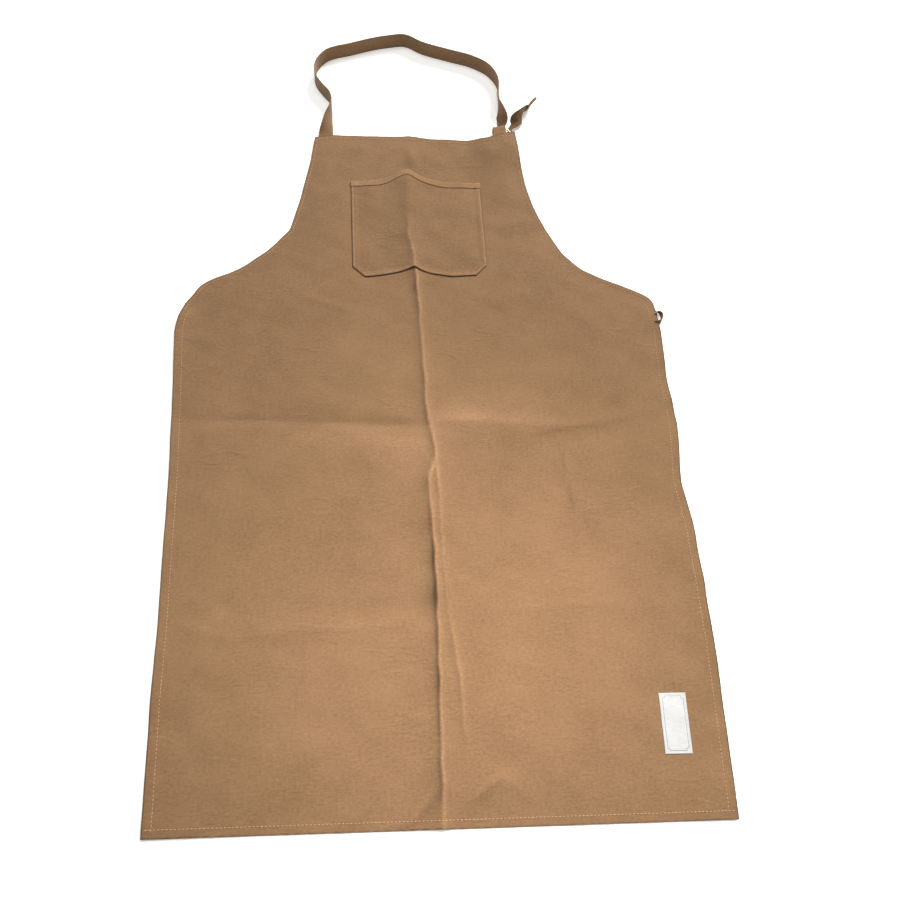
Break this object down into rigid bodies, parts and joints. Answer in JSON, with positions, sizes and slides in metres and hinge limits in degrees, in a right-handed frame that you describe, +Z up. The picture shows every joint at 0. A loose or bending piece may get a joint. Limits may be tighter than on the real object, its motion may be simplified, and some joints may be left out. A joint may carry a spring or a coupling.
{
  "type": "bib apron",
  "caption": "Canvas bib apron laid flat: patch pocket, neck strap adjusted through a pair of rings, tucked waist ties and a lower half that folds up.",
  "frame": {"origin": "middle of the underside of the laid-out apron's bounding box, on the surface it lies on", "axes": "+X to the right across the front, +Y from the hem towards the neck loop, +Z up out of the front of the cloth"},
  "size_m": [0.675, 1.1686, 0.0253],
  "materials": {
    "canvas": "matt plain-woven brown cotton canvas",
    "thread": "lighter tan sewing thread",
    "brass": "polished brass-coloured wire",
    "label_cloth": "white woven label cloth"
  },
  "bodies": {
    "upper_apron": {"bib_panel": "canvas", "chest_pocket": "canvas", "pocket_hem": "canvas", "strap_root": "canvas", "strap_turn": "canvas", "ring_tab": "canvas", "pocket_tack_left": "thread", "pocket_tack_right": "thread", "pocket_stitching": "thread", "side_stitching_upper_left": "thread", "side_stitching_upper_right": "thread", "armhole_stitching_left": "thread", "armhole_stitching_right": "thread", "bib_top_stitching": "thread", "tab_stitching": "thread", "ring_lower": "brass", "ring_upper": "brass"},
    "lower_skirt": {"skirt_panel": "canvas", "hem_stitching": "thread", "side_stitching_lower_left": "thread", "side_stitching_lower_right": "thread", "label": "label_cloth", "label_stitching": "label_cloth"},
    "neck_loop": {"neck_strap": "canvas"},
    "strap_end": {"strap_tail": "canvas"},
    "tie_left": {"waist_tie_left": "canvas"},
    "tie_right": {"waist_tie_right": "canvas"}
  },
  "joints": [
    {"name": "skirt_fold", "type": "hinge", "parent": "upper_apron", "child": "lower_skirt", "pos_m": [0, -0.09028, 0.0015], "axis": [-1, 0, 0], "range_deg": [0, 150]},
    {"name": "neck_loop_lift", "type": "hinge", "parent": "upper_apron", "child": "neck_loop", "pos_m": [-0.0015, 0.40782, 0.0023], "axis": [0.9983, 0.058, 0], "range_deg": [0, 90]},
    {"name": "strap_end_lift", "type": "hinge", "parent": "upper_apron", "child": "strap_end", "pos_m": [0.14925, 0.41197, 0.0066], "axis": [0.8, -0.6, 0], "range_deg": [0, 70]},
    {"name": "tie_left_swing", "type": "hinge", "parent": "upper_apron", "child": "tie_left", "pos_m": [-0.3225, 0.06972, 0.0012], "axis": [0, 0, 1], "range_deg": [0, 150]},
    {"name": "tie_right_swing", "type": "hinge", "parent": "upper_apron", "child": "tie_right", "pos_m": [0.3215, 0.06972, 0.0012], "axis": [0, 0, -1], "range_deg": [0, 150]}
  ]
}
